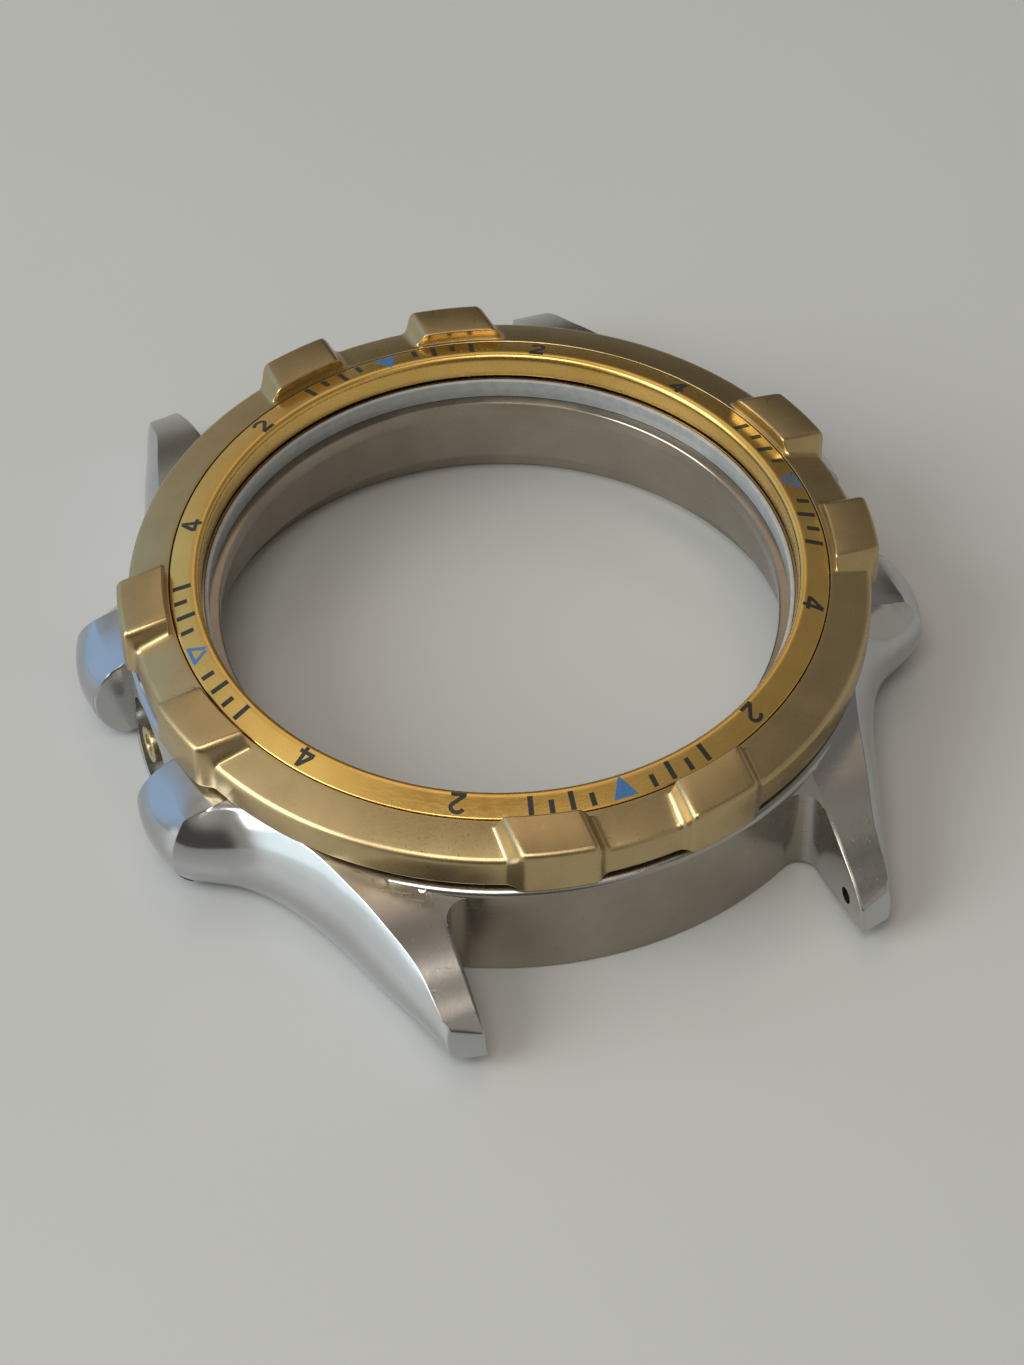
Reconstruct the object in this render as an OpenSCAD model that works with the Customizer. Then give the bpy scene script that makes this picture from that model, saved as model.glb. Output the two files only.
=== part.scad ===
/* [Round body] */
// Diameter of the round body of the case
case_d = 38.7; // [36:0.1:39.4]
// Height from the underside to the shoulder under the bezel
body_h = 5.95; // [5.8:0.05:6]
// Wall of the case outside the movement bore
movement_wall = 4.05; // [3.8:0.05:4.4]
// Wall of the case outside the bore that takes the back
back_wall = 3.25; // [3:0.05:3.4]
// Depth of the bore for the back
back_depth = 1.6; // [1.2:0.1:1.8]
// Width of the shoulder under the bezel, from the neck to the side of the case
shoulder_w = 3.05; // [3:0.01:3.1]
// Height of the neck above the shoulder
neck_h = 1.55; // [1.45:0.05:1.65]
// Wall of the neck outside the crystal seat
neck_wall = 1.1; // [1:0.02:1.14]
// Depth of the crystal seat
crystal_seat_h = 1.1; // [0.8:0.05:1.3]
// Width of the ledge under the crystal
ledge_w = 0.78; // [0.7:0.02:1]
// Thickness of the lip that carries the ledge
lip_h = 0.9; // [0.7:0.05:1.2]

/* [Lugs and crown guards] */
// Width across the crown guards
case_w = 42.6; // [42:0.1:44]
// Length from lug tip to lug tip
lug_span = 47; // [46:0.1:48]
// Gap between the lugs, the width of the strap
lug_gap = 20; // [19:0.5:20.5]
// Width of a lug at its tip
lug_tip_w = 2.3; // [2:0.1:2.8]
// Gap between the two guards beside the crown
guard_gap = 7; // [6.6:0.1:7.6]
// Height of the widest line of a flank at the lugs
lug_wide_z = 1.5; // [1.3:0.1:1.9]
// Height of that line at the guards
guard_wide_z = 3; // [2.4:0.1:3.4]
// How far a flank draws in below that line at the lugs
lug_under = 0.9; // [0.5:0.05:1]
// How far it draws in at the guards
guard_under = 1.4; // [0.9:0.05:1.6]
// How far the top of a guard falls from the shoulder to its outer edge
guard_drop = 0.65; // [0.3:0.05:1]
// Height of the underside of a guard
guard_low_z = 0.5; // [0.2:0.05:0.8]
// Distance from the middle to where the lugs start to curve down
lug_flat_y = 13.2; // [12.4:0.1:14]
// Height of the top of a lug at its tip
tip_top_z = 2.27; // [2.1:0.05:2.5]
// Distance from the middle to where the undersides of the lugs start to rise
lug_under_y = 18; // [17:0.1:19]
// Height of the underside of a lug at its tip
tip_low_z = 0.9; // [0.5:0.1:1.1]
// Hole for the end of a spring bar
bar_hole_d = 0.9; // [0.8:0.05:1]
// Depth of that hole
bar_hole_depth = 1.1; // [0.9:0.05:1.3]
// Distance of the hole from the tip of the lug
bar_hole_in = 2.1; // [1.9:0.1:2.4]
// Height of the hole
bar_hole_z = 1.8; // [1.7:0.05:2]

/* [Bezel] */
// How far the bezel stands in from the side of the case, between its tabs
bezel_in = 0.25; // [0.15:0.05:0.35]
// Width of the top of the bezel, outside the printed ring
bezel_top_w = 2.15; // [2.05:0.05:2.2]
// Height of the bezel from its underside to the printed ring
bezel_h = 2.35; // [2.35:0.05:2.5]
// Height of the side of the bezel
bezel_side_h = 1.78; // [1.6:0.02:1.9]
// Open gap under the bezel
bezel_gap = 0.3; // [0.2:0.02:0.34]
// How far the tabs stand out beyond the bezel
tab_out = 0.5; // [0.3:0.05:0.7]
// Height of a tab above the seam of the printed ring, at its inner end
tab_rise = 0.65; // [0.5:0.05:0.8]
// The same at its outer end
tab_out_rise = 0.3; // [0.2:0.05:0.4]
// Width of the top of a tab
tab_w = 3.7; // [3:0.1:4.2]
// Gap between the two tabs of a pair
tab_gap = 5; // [4.4:0.1:5.6]
// Width of the sloped flank on each side of a tab
tab_flank = 0.4; // [0.3:0.05:0.6]

/* [Printed ring] */
// How far the opening of the ring is set back from the crystal seat
scale_set_back = 0.13; // [0.1:0.01:0.16]
// How far the ring rises towards its opening
scale_rise = 0.42; // [0.3:0.02:0.5]
// Thickness of the ring at its outer edge
scale_t = 0.5; // [0.4:0.05:0.55]
// Wall of its inner skirt
scale_skirt_t = 0.42; // [0.36:0.02:0.44]
// Thickness of the adhesive under it
bond_t = 0.1; // [0.05:0.01:0.14]

/* [Clicks and seals] */
// Clicks in one turn of the bezel
click_count = 60; // [48:12:72]
// Distance from the neck to the middle of the click notches
click_track_in = 1.45; // [1.4:0.02:1.5]
// Diameter of a click ball
ball_d = 1; // [0.9:0.02:1.04]
// Width of a click notch, a radial vee under the bezel
notch_w = 1.3; // [1.2:0.02:1.34]
// Depth of a click notch
notch_depth = 0.45; // [0.4:0.01:0.5]
// Length of a click notch
notch_len = 1.4; // [1.2:0.05:1.45]
// Wire of a click spring
spring_wire = 0.18; // [0.14:0.01:0.2]
// Coils of a click spring
spring_turns = 5; // [3:1:6]
// Depth of the pocket that a click spring stands in
pocket_depth = 2.4; // [2.2:0.1:2.8]
// Wire of the split ring that holds the bezel on
ring_wire = 0.46; // [0.4:0.02:0.5]
// Width of the bezel gasket
gasket_w = 0.5; // [0.4:0.02:0.52]
// Wall of the crystal gasket
crystal_gasket_t = 0.22; // [0.15:0.01:0.3]

/* [Crown tube] */
// Outer diameter of the crown tube
tube_d = 2; // [1.9:0.05:2.2]
// Bore of the crown tube
tube_bore_d = 1.1; // [1:0.02:1.14]
// Height of the axis of the crown
crown_z = 3.15; // [3.05:0.05:3.25]
// Diameter of the flat recess round the tube
crown_recess_d = 5; // [4.4:0.1:5.2]
// Depth of that recess at the middle of the wall
crown_recess_depth = 0.6; // [0.5:0.05:0.8]
// How far the tube stands out of the recess
tube_out = 0.6; // [0.5:0.05:1]
// Cord of the gasket in the tube
tube_gasket_d = 0.3; // [0.26:0.02:0.32]

/* [Hidden] */
$fn = 96;

// One overrun for every cut
over = 0.5;
// Radial clearance of the bezel on the neck, and of the balls in their pockets
turn_fit = 0.05;
ball_fit = 0.03;
// Clearance of the pieces that are seated, and of the fine seam round the printed ring
seat_fit = 0.02;
seam_fit = 0.06;
flange_fit = 0.1;
// Edge breaks of the body, and the finer ones
edge = 0.2;
fine_edge = 0.12;

case_r = case_d / 2;
neck_r = case_r - shoulder_w;
neck_z = body_h + neck_h;
ledge_z = neck_z - crystal_seat_h;
lip_z = ledge_z - lip_h;
movement_r = case_r - movement_wall;
back_r = case_r - back_wall;
crystal_r = neck_r - neck_wall;
lip_r = crystal_r - ledge_w;

half_span = lug_span / 2;
half_gap = lug_gap / 2;
half_guard = guard_gap / 2;
lug_out_x = half_gap + lug_tip_w;
// Fall, length and radius of the curve of the lugs, seen from the side
lug_drop = body_h - tip_top_z;
lug_run = half_span - lug_flat_y;
lug_curve_r = (pow(lug_drop, 2) + pow(lug_run, 2)) / (2 * lug_drop);
// How deep the flanks cut into the round body
flank_cut = 1.2;
// Where the flank meets the wall between the lugs, as a round inside corner
fillet = 1;
fillet_x = half_gap - fillet;
fillet_y = sqrt(pow(case_r + fillet, 2) - pow(fillet_x, 2));

bezel_r = case_r - bezel_in;
bezel_z = body_h + bezel_gap;
seam_z = bezel_z + bezel_h;
bezel_bore_r = neck_r + turn_fit;
bezel_round = 0.36;
tab_r = bezel_r + tab_out;
tab_round = 0.25;
// How far a tab starts outside the printed ring
tab_in = 0.25;
tab_count = 8;

scale_seat_r = bezel_r - bezel_top_w;
scale_bore_r = crystal_r + scale_set_back;
scale_skirt_r = scale_bore_r + scale_skirt_t;
scale_out_r = scale_seat_r - seam_fit;
scale_low_z = seam_z - scale_t;
scale_round = 0.3;
seat_floor_z = scale_low_z - bond_t;
flange_r = scale_skirt_r + flange_fit;
flange_z = neck_z + flange_fit;

// Split ring, half in a groove of the neck and half in one of the bezel
ring_r = neck_r + turn_fit / 2;
ring_up = 1;
ring_z = body_h + ring_up;
ring_gap_angle = 12;
ring_groove_h = ring_wire + 2 * ball_fit;
ring_groove_depth = (ring_wire + turn_fit) / 2 + ball_fit;

gasket_in = 0.16;
gasket_in_r = neck_r + gasket_in;
gasket_out_r = gasket_in_r + gasket_w;
gasket_sunk = bezel_gap;

// A ball is seated in a click notch at rest, and its spring stands in the same pocket
ball_count = 4;
ball_r = ball_d / 2;
track_r = neck_r + click_track_in;
notch_slant = sqrt(pow(notch_w / 2, 2) + pow(notch_depth, 2));
ball_z = bezel_z + notch_depth - ball_r * notch_slant / (notch_w / 2) - seat_fit;
first_ball_angle = 45;
pocket_r = ball_r + ball_fit;
pocket_z = body_h - pocket_depth;
spring_fit = 0.1;
spring_r = pocket_r - spring_fit - spring_wire / 2;
spring_low_z = pocket_z + spring_wire / 2;
spring_top_z = ball_z - sqrt(pow(ball_r + spring_wire / 2, 2) - pow(spring_r, 2)) - seat_fit;
spring_sides = 6;
spring_steps = 10;

tube_r = tube_d / 2;
tube_bore_r = tube_bore_d / 2;
recess_x = case_r - crown_recess_depth;
tube_in_x = movement_r + flange_fit;
tube_out_x = recess_x + tube_out;
tube_gasket_x = (tube_in_x + tube_out_x) / 2;

steel = [0.72, 0.73, 0.75];
khaki_gold = [0.67, 0.57, 0.38];
yellow_gold = [0.82, 0.66, 0.28];
wire_steel = [0.55, 0.56, 0.58];

// Widest line of a flank from the tip of a lug to the end of a guard: share of the way
// out from the tip to the guard, and share of the way from the crown gap to the tip
wide_shares = [[-0.111, 0.995], [-0.033, 0.968], [0.011, 0.915], [0.067, 0.82],
               [0.139, 0.7], [0.233, 0.56], [0.344, 0.44], [0.467, 0.345],
               [0.611, 0.28], [0.767, 0.2475], [0.883, 0.2175], [0.939, 0.1925],
               [0.978, 0.155], [1, 0.095], [0.994, 0.04], [0.978, 0]];
// Its top edge, which turns a sharp corner at the guard
top_shares = [[-0.133, 0.985], [-0.078, 0.96], [-0.042, 0.91], [-0.014, 0.81],
              [0.07, 0.685], [0.164, 0.5475], [0.272, 0.415], [0.4, 0.31],
              [0.544, 0.23], [0.7, 0.19], [0.828, 0.183], [0.85, 0.172],
              [0.838, 0.145], [0.828, 0.095], [0.836, 0.04], [0.85, 0]];
// Heights between the underside and the widest line, and between that and the top edge
under_shares = [1, 0.75, 0.4];
rise_shares = [0, 0.35, 0.6, 0.8, 1];
flank_bulge = 2.5;
// Where the flanks cut into the round body, seen from above
cut_angles = [23.5, 43];
cut_floor_angles = [26, 40.5];

// Points of an arc round centre c, from angle a0 to a1
function arc(c, r, a0, a1, n = 6) =
    [for (i = [0:n]) c + r * [cos(a0 + (a1 - a0) * i / n), sin(a0 + (a1 - a0) * i / n)]];

function unit(v) = v / norm(v);

// A point of the smooth curve through p at place i, a share t of the way to the next
function spline(p, i, t) =
    let (a = p[max(i - 1, 0)], b = p[i], c = p[min(i + 1, len(p) - 1)], d = p[min(i + 2, len(p) - 1)])
    (2 * b + t * (c - a) + t * t * (2 * a - 5 * b + 4 * c - d) + t * t * t * (3 * b - a - 3 * c + d)) / 2;

// Height of the top of a lug at distance y from the middle
function lug_top(y) = y <= lug_flat_y ? body_h
    : body_h - lug_curve_r + sqrt(pow(lug_curve_r, 2) - pow(y - lug_flat_y, 2));

// Height of the underside of a lug at distance y from the middle
function lug_low(y) = max(0, tip_low_z * (y - lug_under_y) / (half_span - lug_under_y));

// A line of the flank from its shares, with one more point between each two
function flank_line(shares) =
    let (last = len(shares) - 1, out = case_w / 2 - lug_out_x, along = half_span - half_guard,
         fine = concat([for (i = [0:last - 1]) for (t = [0, 1 / 2]) spline(shares, i, t)], [shares[last]]))
    [for (s = fine) [lug_out_x + s.x * out, half_guard + s.y * along]];

wide_line = flank_line(wide_shares);
top_line = flank_line(top_shares);

// Direction into the body at place j of the widest line
function inward(j) = j == len(wide_line) - 1 ? [-1, 0]
    : let (t = unit(wide_line[j + 1] - wide_line[max(j - 1, 0)])) [t.y, -t.x];

// How much of a guard there is at place j: 0 on a lug, 1 at the guards
function guard_share(j) = pow(max(wide_line[j].x - lug_out_x, 0) / (case_w / 2 - lug_out_x), 2);

// Where the flat shoulder ends and the top of a guard starts to fall
function shoulder_x(top) =
    let (x = sqrt(max(pow(case_r - edge - fine_edge, 2) - pow(top.y, 2), 0)))
    min(max(x, half_gap + edge), top.x - edge);

// Section of a flank at place j, from its underside up and over to the inner face
function flank_section(j) =
    let (p = wide_line[j], top = top_line[j], y = j == 0 ? half_span : top.y, g = guard_share(j),
         wide_z = lug_wide_z + (guard_wide_z - lug_wide_z) * g,
         under = lug_under + (guard_under - lug_under) * g, low = lug_low(p.y) + guard_low_z * g)
    concat([[half_gap, y, lug_low(y) + guard_low_z * g]],
           [for (t = under_shares)
               let (q = p + inward(j) * under * pow(t, flank_bulge))
               [q.x, q.y, wide_z - t * (wide_z - low)]],
           [for (t = rise_shares)
               let (q = p + (top - p) * pow(t, flank_bulge))
               [q.x, q.y, wide_z + t * (lug_top(q.y) - guard_drop * g - wide_z)]],
           [[shoulder_x(top), top.y, lug_top(top.y)], [half_gap, top.y, lug_top(top.y)]]);

// One lug with the flank and guard beside it
module flank() {
    rows = len(wide_line);
    n = len(flank_section(1));
    polyhedron(
        points = [for (j = [0:rows - 1]) each flank_section(j)],
        faces = concat(
            [for (j = [0:rows - 2]) for (i = [0:n - 1]) let (k = (i + 1) % n)
                each [[j * n + i, (j + 1) * n + k, j * n + k],
                      [j * n + i, (j + 1) * n + i, (j + 1) * n + k]]],
            [for (i = [1:n - 2]) [0, i, i + 1]],
            [for (i = [1:n - 2]) [(rows - 1) * n, (rows - 1) * n + i + 1, (rows - 1) * n + i]]));
}

// The round inside corner between a lug and the wall, under the curve of the lug's top
module root_fillet() {
    wall_x = fillet_x * case_r / (case_r + fillet);
    wall_y = sqrt(pow(case_r, 2) - pow(half_gap, 2)) - over;
    steps = 8;
    curve = [for (i = [steps:-1:0]) let (y = lug_flat_y + lug_run * i / steps) [y, lug_top(y) - seat_fit]];
    intersection() {
        translate([0, 0, edge]) linear_extrude(body_h) difference() {
            translate([wall_x, wall_y]) square([half_gap + over - wall_x, fillet_y - wall_y]);
            translate([fillet_x, fillet_y]) circle(fillet);
        }
        rotate([90, 0, 90]) linear_extrude(lug_out_x)
            polygon(concat([[0, 0], [half_span, 0]], curve, [[0, body_h - seat_fit]]));
    }
}

// Where a flank cuts into the round body
module flank_cut_bar() {
    translate([0, 0, -over]) linear_extrude(body_h + 2 * over)
        polygon(concat(arc([0, 0], case_r - flank_cut, cut_floor_angles[0], cut_floor_angles[1]),
                       [for (a = [cut_angles[1], cut_angles[0]]) (case_r + over) * [cos(a), sin(a)]]));
}

module on_four_sides() {
    for (x = [0, 1]) for (y = [0, 1]) mirror([x, 0, 0]) mirror([0, y, 0]) children();
}

module body_blank() {
    difference() {
        rotate_extrude() polygon([
            [0, 0], [case_r - edge, 0], [case_r, edge], [case_r, body_h - edge], [case_r - edge, body_h],
            [neck_r, body_h], [neck_r, neck_z - fine_edge], [neck_r - fine_edge, neck_z], [0, neck_z]]);
        on_four_sides() flank_cut_bar();
    }
    on_four_sides() {
        flank();
        root_fillet();
    }
}

module body_bores() {
    rotate_extrude() polygon([
        [0, -over], [back_r, -over], [back_r, back_depth], [movement_r, back_depth], [movement_r, lip_z],
        [lip_r, lip_z], [lip_r, ledge_z - fine_edge], [lip_r + fine_edge, ledge_z],
        [crystal_r, ledge_z], [crystal_r, neck_z + over], [0, neck_z + over]]);
}

// A ring of rectangular section
module band(r0, r1, z0, z1) {
    rotate_extrude() translate([r0, z0]) square([r1 - r0, z1 - z0]);
}

module at_ball(i) {
    rotate([0, 0, first_ball_angle + i * 360 / ball_count]) translate([track_r, 0, 0]) children();
}

module mid_case() {
    color(steel) difference() {
        body_blank();
        body_bores();
        band(ring_r - ring_groove_depth, neck_r + over,
             ring_z - ring_groove_h / 2, ring_z + ring_groove_h / 2);
        band(gasket_in_r - seat_fit, gasket_out_r + seat_fit, body_h - gasket_sunk, body_h + over);
        for (i = [0:ball_count - 1])
            at_ball(i) translate([0, 0, pocket_z]) cylinder(r = pocket_r, h = pocket_depth + over);
        translate([movement_r - over, 0, crown_z]) rotate([0, 90, 0]) cylinder(r = tube_r, h = case_r);
        translate([recess_x, 0, crown_z]) rotate([0, 90, 0]) cylinder(d = crown_recess_d, h = case_r);
        for (y = [-1, 1])
            translate([-half_gap - bar_hole_depth, y * (half_span - bar_hole_in), bar_hole_z])
                rotate([0, 90, 0]) cylinder(d = bar_hole_d, h = lug_gap + 2 * bar_hole_depth);
    }
}

module bezel_ring() {
    side_z = bezel_z + bezel_side_h;
    rotate_extrude() polygon(concat(
        [[bezel_bore_r, bezel_z], [bezel_r - fine_edge, bezel_z], [bezel_r, bezel_z + fine_edge]],
        arc([bezel_r - bezel_round, side_z - bezel_round], bezel_round, 0, 72),
        [[scale_seat_r + fine_edge, seam_z], [scale_seat_r, seam_z - fine_edge], [scale_seat_r, seat_floor_z],
         [flange_r, seat_floor_z], [flange_r, flange_z], [bezel_bore_r, flange_z]]));
}

// The hoop that the tabs are cut from
module tab_hoop() {
    in_r = scale_seat_r + tab_in;
    rotate_extrude() polygon(concat(
        [[in_r, bezel_z], [tab_r - fine_edge, bezel_z], [tab_r, bezel_z + fine_edge]],
        arc([tab_r - tab_round, seam_z + tab_out_rise - tab_round], tab_round, 0, 80),
        arc([in_r + fine_edge, seam_z + tab_rise - fine_edge], fine_edge, 80, 180, 3)));
}

// Outline of one tab, seen along its radius, as a bar across the hoop
module tab_cutter() {
    foot_z = bezel_z + bezel_side_h;
    translate([0, -scale_bore_r, 0]) rotate([90, 0, 0]) linear_extrude(tab_r)
        polygon([[tab_gap / 2 - tab_flank, 0], [tab_gap / 2 + tab_w + tab_flank, 0],
                 [tab_gap / 2 + tab_w + tab_flank, foot_z], [tab_gap / 2 + tab_w, seam_z + tab_rise],
                 [tab_gap / 2, seam_z + tab_rise], [tab_gap / 2 - tab_flank, foot_z]]);
}

module bezel() {
    color(khaki_gold) difference() {
        union() {
            bezel_ring();
            intersection() {
                tab_hoop();
                for (i = [0:tab_count - 1])
                    rotate([0, 0, floor(i / 2) * 720 / tab_count]) mirror([i % 2, 0, 0]) tab_cutter();
            }
        }
        band(bezel_bore_r - over, ring_r + ring_groove_depth,
             ring_z - ring_groove_h / 2, ring_z + ring_groove_h / 2);
        for (i = [0:click_count - 1])
            rotate([0, 0, first_ball_angle + i * 360 / click_count])
                translate([track_r - notch_len / 2, 0, bezel_z]) rotate([90, 0, 90]) linear_extrude(notch_len)
                    polygon([[-notch_w / 2, -over], [notch_w / 2, -over], [notch_w / 2, 0],
                             [0, notch_depth], [-notch_w / 2, 0]]);
    }
}

module scale_ring() {
    crest = [scale_bore_r + scale_round, seam_z + scale_rise - scale_round];
    color(yellow_gold) rotate_extrude() polygon(concat(
        [[scale_bore_r, flange_z], [scale_skirt_r, flange_z], [scale_skirt_r, scale_low_z],
         [scale_out_r, scale_low_z], [scale_out_r, seam_z - fine_edge], [scale_out_r - fine_edge, seam_z]],
        arc(crest, scale_round, 75, 180)));
}

module scale_bond() {
    color("ivory") band(flange_r, scale_out_r, seat_floor_z, scale_low_z);
}

module retaining_wire() {
    color(wire_steel) rotate([0, 0, (ring_gap_angle - 180) / 2]) translate([0, 0, ring_z])
        rotate_extrude(angle = 360 - ring_gap_angle) translate([ring_r, 0]) circle(d = ring_wire);
}

module bezel_gasket() {
    color("black") band(gasket_in_r, gasket_out_r, body_h - gasket_sunk, bezel_z - ball_fit);
}

module crystal_gasket() {
    color("white") band(crystal_r - seat_fit - crystal_gasket_t, crystal_r - seat_fit, ledge_z, neck_z);
}

module crown_tube() {
    color(yellow_gold) translate([0, 0, crown_z]) rotate([0, 90, 0]) rotate_extrude() difference() {
        translate([tube_bore_r, tube_in_x]) square([tube_r - tube_bore_r, tube_out_x - tube_in_x]);
        translate([tube_bore_r - over, tube_gasket_x - tube_gasket_d / 2 - seat_fit])
            square([over + tube_gasket_d + 2 * seat_fit, tube_gasket_d + 2 * seat_fit]);
    }
}

module crown_tube_gasket() {
    color("black") translate([tube_gasket_x, 0, crown_z]) rotate([0, 90, 0])
        rotate_extrude() translate([tube_bore_r + seat_fit + tube_gasket_d / 2, 0]) circle(d = tube_gasket_d);
}

module click_ball(i) {
    color(wire_steel) at_ball(i) translate([0, 0, ball_z]) sphere(r = ball_r);
}

// Corner s of ring i of a click spring
function spring_point(i, s) =
    let (turn = 360 * i / spring_steps, side = 360 * s / spring_sides,
         z = spring_low_z + (spring_top_z - spring_low_z) * i / (spring_turns * spring_steps),
         r = spring_r + spring_wire / 2 * cos(side))
    [r * cos(turn), r * sin(turn), z + spring_wire / 2 * sin(side)];

module click_spring(i) {
    rings = spring_turns * spring_steps;
    n = spring_sides;
    color("gray") at_ball(i) polyhedron(
        points = [for (j = [0:rings]) for (s = [0:n - 1]) spring_point(j, s)],
        faces = concat(
            [for (j = [0:rings - 1]) for (s = [0:n - 1]) let (k = (s + 1) % n)
                each [[j * n + s, j * n + k, (j + 1) * n + k],
                      [j * n + s, (j + 1) * n + k, (j + 1) * n + s]]],
            [for (s = [1:n - 2]) [0, s + 1, s]],
            [for (s = [1:n - 2]) [rings * n, rings * n + s, rings * n + s + 1]]));
}

mid_case();
bezel();
scale_ring();
scale_bond();
retaining_wire();
bezel_gasket();
crystal_gasket();
crown_tube();
crown_tube_gasket();
click_ball(0);  // click_ball_1
click_ball(1);  // click_ball_2
click_ball(2);  // click_ball_3
click_ball(3);  // click_ball_4
click_spring(0);  // click_spring_1
click_spring(1);  // click_spring_2
click_spring(2);  // click_spring_3
click_spring(3);  // click_spring_4
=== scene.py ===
import math

import bmesh
import bpy
from mathutils import Matrix, Vector


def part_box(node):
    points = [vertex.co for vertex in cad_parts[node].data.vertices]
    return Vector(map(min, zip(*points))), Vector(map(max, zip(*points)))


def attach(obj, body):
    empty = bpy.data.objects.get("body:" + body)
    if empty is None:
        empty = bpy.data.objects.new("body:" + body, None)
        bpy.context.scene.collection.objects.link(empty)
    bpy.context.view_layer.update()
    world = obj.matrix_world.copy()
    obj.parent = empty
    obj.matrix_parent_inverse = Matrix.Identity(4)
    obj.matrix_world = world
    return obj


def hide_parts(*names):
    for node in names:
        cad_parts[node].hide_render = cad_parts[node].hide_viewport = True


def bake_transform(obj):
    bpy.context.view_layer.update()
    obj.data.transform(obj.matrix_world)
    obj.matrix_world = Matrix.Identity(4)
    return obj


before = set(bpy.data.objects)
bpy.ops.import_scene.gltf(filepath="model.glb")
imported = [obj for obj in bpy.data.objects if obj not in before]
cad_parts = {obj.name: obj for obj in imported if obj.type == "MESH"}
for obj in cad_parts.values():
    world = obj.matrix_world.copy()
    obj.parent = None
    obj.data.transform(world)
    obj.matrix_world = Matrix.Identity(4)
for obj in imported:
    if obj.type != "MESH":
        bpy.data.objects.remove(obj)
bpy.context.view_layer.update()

# An empty watch case with its turning bezel. Sizes are in millimetres in the row frame: +X to 3 o'clock,
# +Y to 12 o'clock, +Z up from the table.
MM = 0.001
CASE_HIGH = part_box("mid_case")[1] / MM
BEZEL_LOW, BEZEL_HIGH = (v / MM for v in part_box("bezel"))
GASKET_LOW, GASKET_HIGH = (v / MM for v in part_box("crystal_gasket"))
TUBE_LOW, TUBE_HIGH = (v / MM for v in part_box("crown_tube"))

# Round body of the case
CASE_R = 19.35
BODY_H = 5.95
NECK_R = 16.3
NECK_Z = CASE_HIGH.z
BACK_R = 16.1
BACK_DEPTH = 1.6
BACK_CHAMFER = 0.15
MOVEMENT_R = 15.3
LIP_R = 14.42
LIP_H = 0.9
LEDGE_Z = GASKET_LOW.z
LIP_Z = LEDGE_Z - LIP_H
CRYSTAL_R = 15.2
# Groove of the retaining wire: its low and high z and its floor's radius
WIRE_GROOVE = (6.66, 7.24, 16.04)
# Groove of the bezel gasket: its two radii and its floor's z
GASKET_GROOVE = (16.44, 16.98, 5.65)
POCKET_R = 0.53
POCKET_DEPTH = 2.4
BALL_TRACK_R = 17.75
CLICK_ANGLES = (45, 135, 225, 315)
SPRING_FIT = 0.1
SPRING_WIRE_R = 0.09
SPRING_TURNS = 5
SEAL_WALL = 0.22
SEAL_EDGE = 0.06

# Rounding of edges, and the overrun of cutters
EDGE = 0.2
RIM_EDGE = 0.32
CREST_EDGE = 0.62
SHOULDER_EDGE = 0.3
NECK_EDGE = 0.12
LEDGE_EDGE = 0.14
LIP_EDGE = 0.08
SEAM_EDGE = 0.07
FOOT_EDGE = 0.05
GROOVE_EDGE = 0.04
FINE_EDGE = 0.03
SHARP_ANGLE = 32
GOLD_SHARP_ANGLE = 40
OVERRUN = 1

# Lugs and guards. UNDER sizes say how far a section draws in below its widest line
HALF_SPAN = CASE_HIGH.y
HALF_WIDTH = CASE_HIGH.x
HALF_GAP = 10.0
HALF_GUARD = 3.5
LUG_TIP_W = 2.3
# Height of the widest line as a share of a section's height
WIDE_HIGH_SHARE = 0.5
LUG_UNDER = 0.9
GUARD_UNDER = 1.4
GUARD_DROP = 0.65
GUARD_LOW_Z = 0.5
# Power of a section's curve: 2 is a parabola, and more is fuller
FLANK_BULGE = 2.1
# Wedges of the round body that the flanks take the place of: depth, angles and lowest z
FLANK_CUT = 1.2
CUT_ANGLES = (23.5, 43)
RIM_CUT_ANGLES = (11.5, 27)
RIM_CUT_Z = 4.2
CUT_NARROWS = 0.86
LUG_FLAT_Y = 13.2
LUG_UNDER_Y = 18.0
TIP_LOW_Z = 1.1
TIP_TOP_Z = 2.27
# How far a lug's end moves in for each millimetre up, and for each millimetre out
TIP_LEAN = 0.22
TIP_SLANT = 0.27
TIP_EDGE = 0.2
# Rows over a tip's rounded edge, as shares of the edge: distance back from the tip, and inset
TIP_EDGE_SHARES = ((0, 1), (0.08, 0.55), (0.3, 0.2), (0.8, 0))
# Rows of the flank that the rows of the tip take the place of
TIP_ROWS = 9
GUARD_END_EDGE = 0.1
# Edges of a flank's section: inner low, outer low, crest and inner top
SECTION_EDGES = (0.12, 0.3, 0.07, 0.14)
ROOT_FILLET = 1.0
BAR_HOLE_R = 0.45
BAR_HOLE_DEPTH = 1.1
BAR_HOLE_IN = 2.1
BAR_HOLE_Z = 1.8
CROWN_Z = 3.15
CROWN_RECESS_R = 2.5
CROWN_RECESS_DEPTH = 0.6
TUBE_R = 1.0
TUBE_BORE_R = 0.55
# Edges of the tube: inner and outer edge inside the case, outer and inner edge at its mouth
TUBE_EDGES = (0.06, 0.06, 0.14, 0.12)

# Bezel and printed ring
SEAM_Z = 8.6
BEZEL_R = 19.1
BEZEL_BORE_R = 16.35
BEZEL_SHOULDER_Z = 7.93
SEAT_R = 16.95
BEZEL_GROOVE_PLAY = 0.05
BEZEL_GROOVE_R = NECK_R * 2 + BEZEL_GROOVE_PLAY - WIRE_GROOVE[2]
TAB_R = 19.6
TAB_IN_R = 17.2
TAB_OUT_Z = 8.9
TAB_FOOT = 0.14
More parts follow.
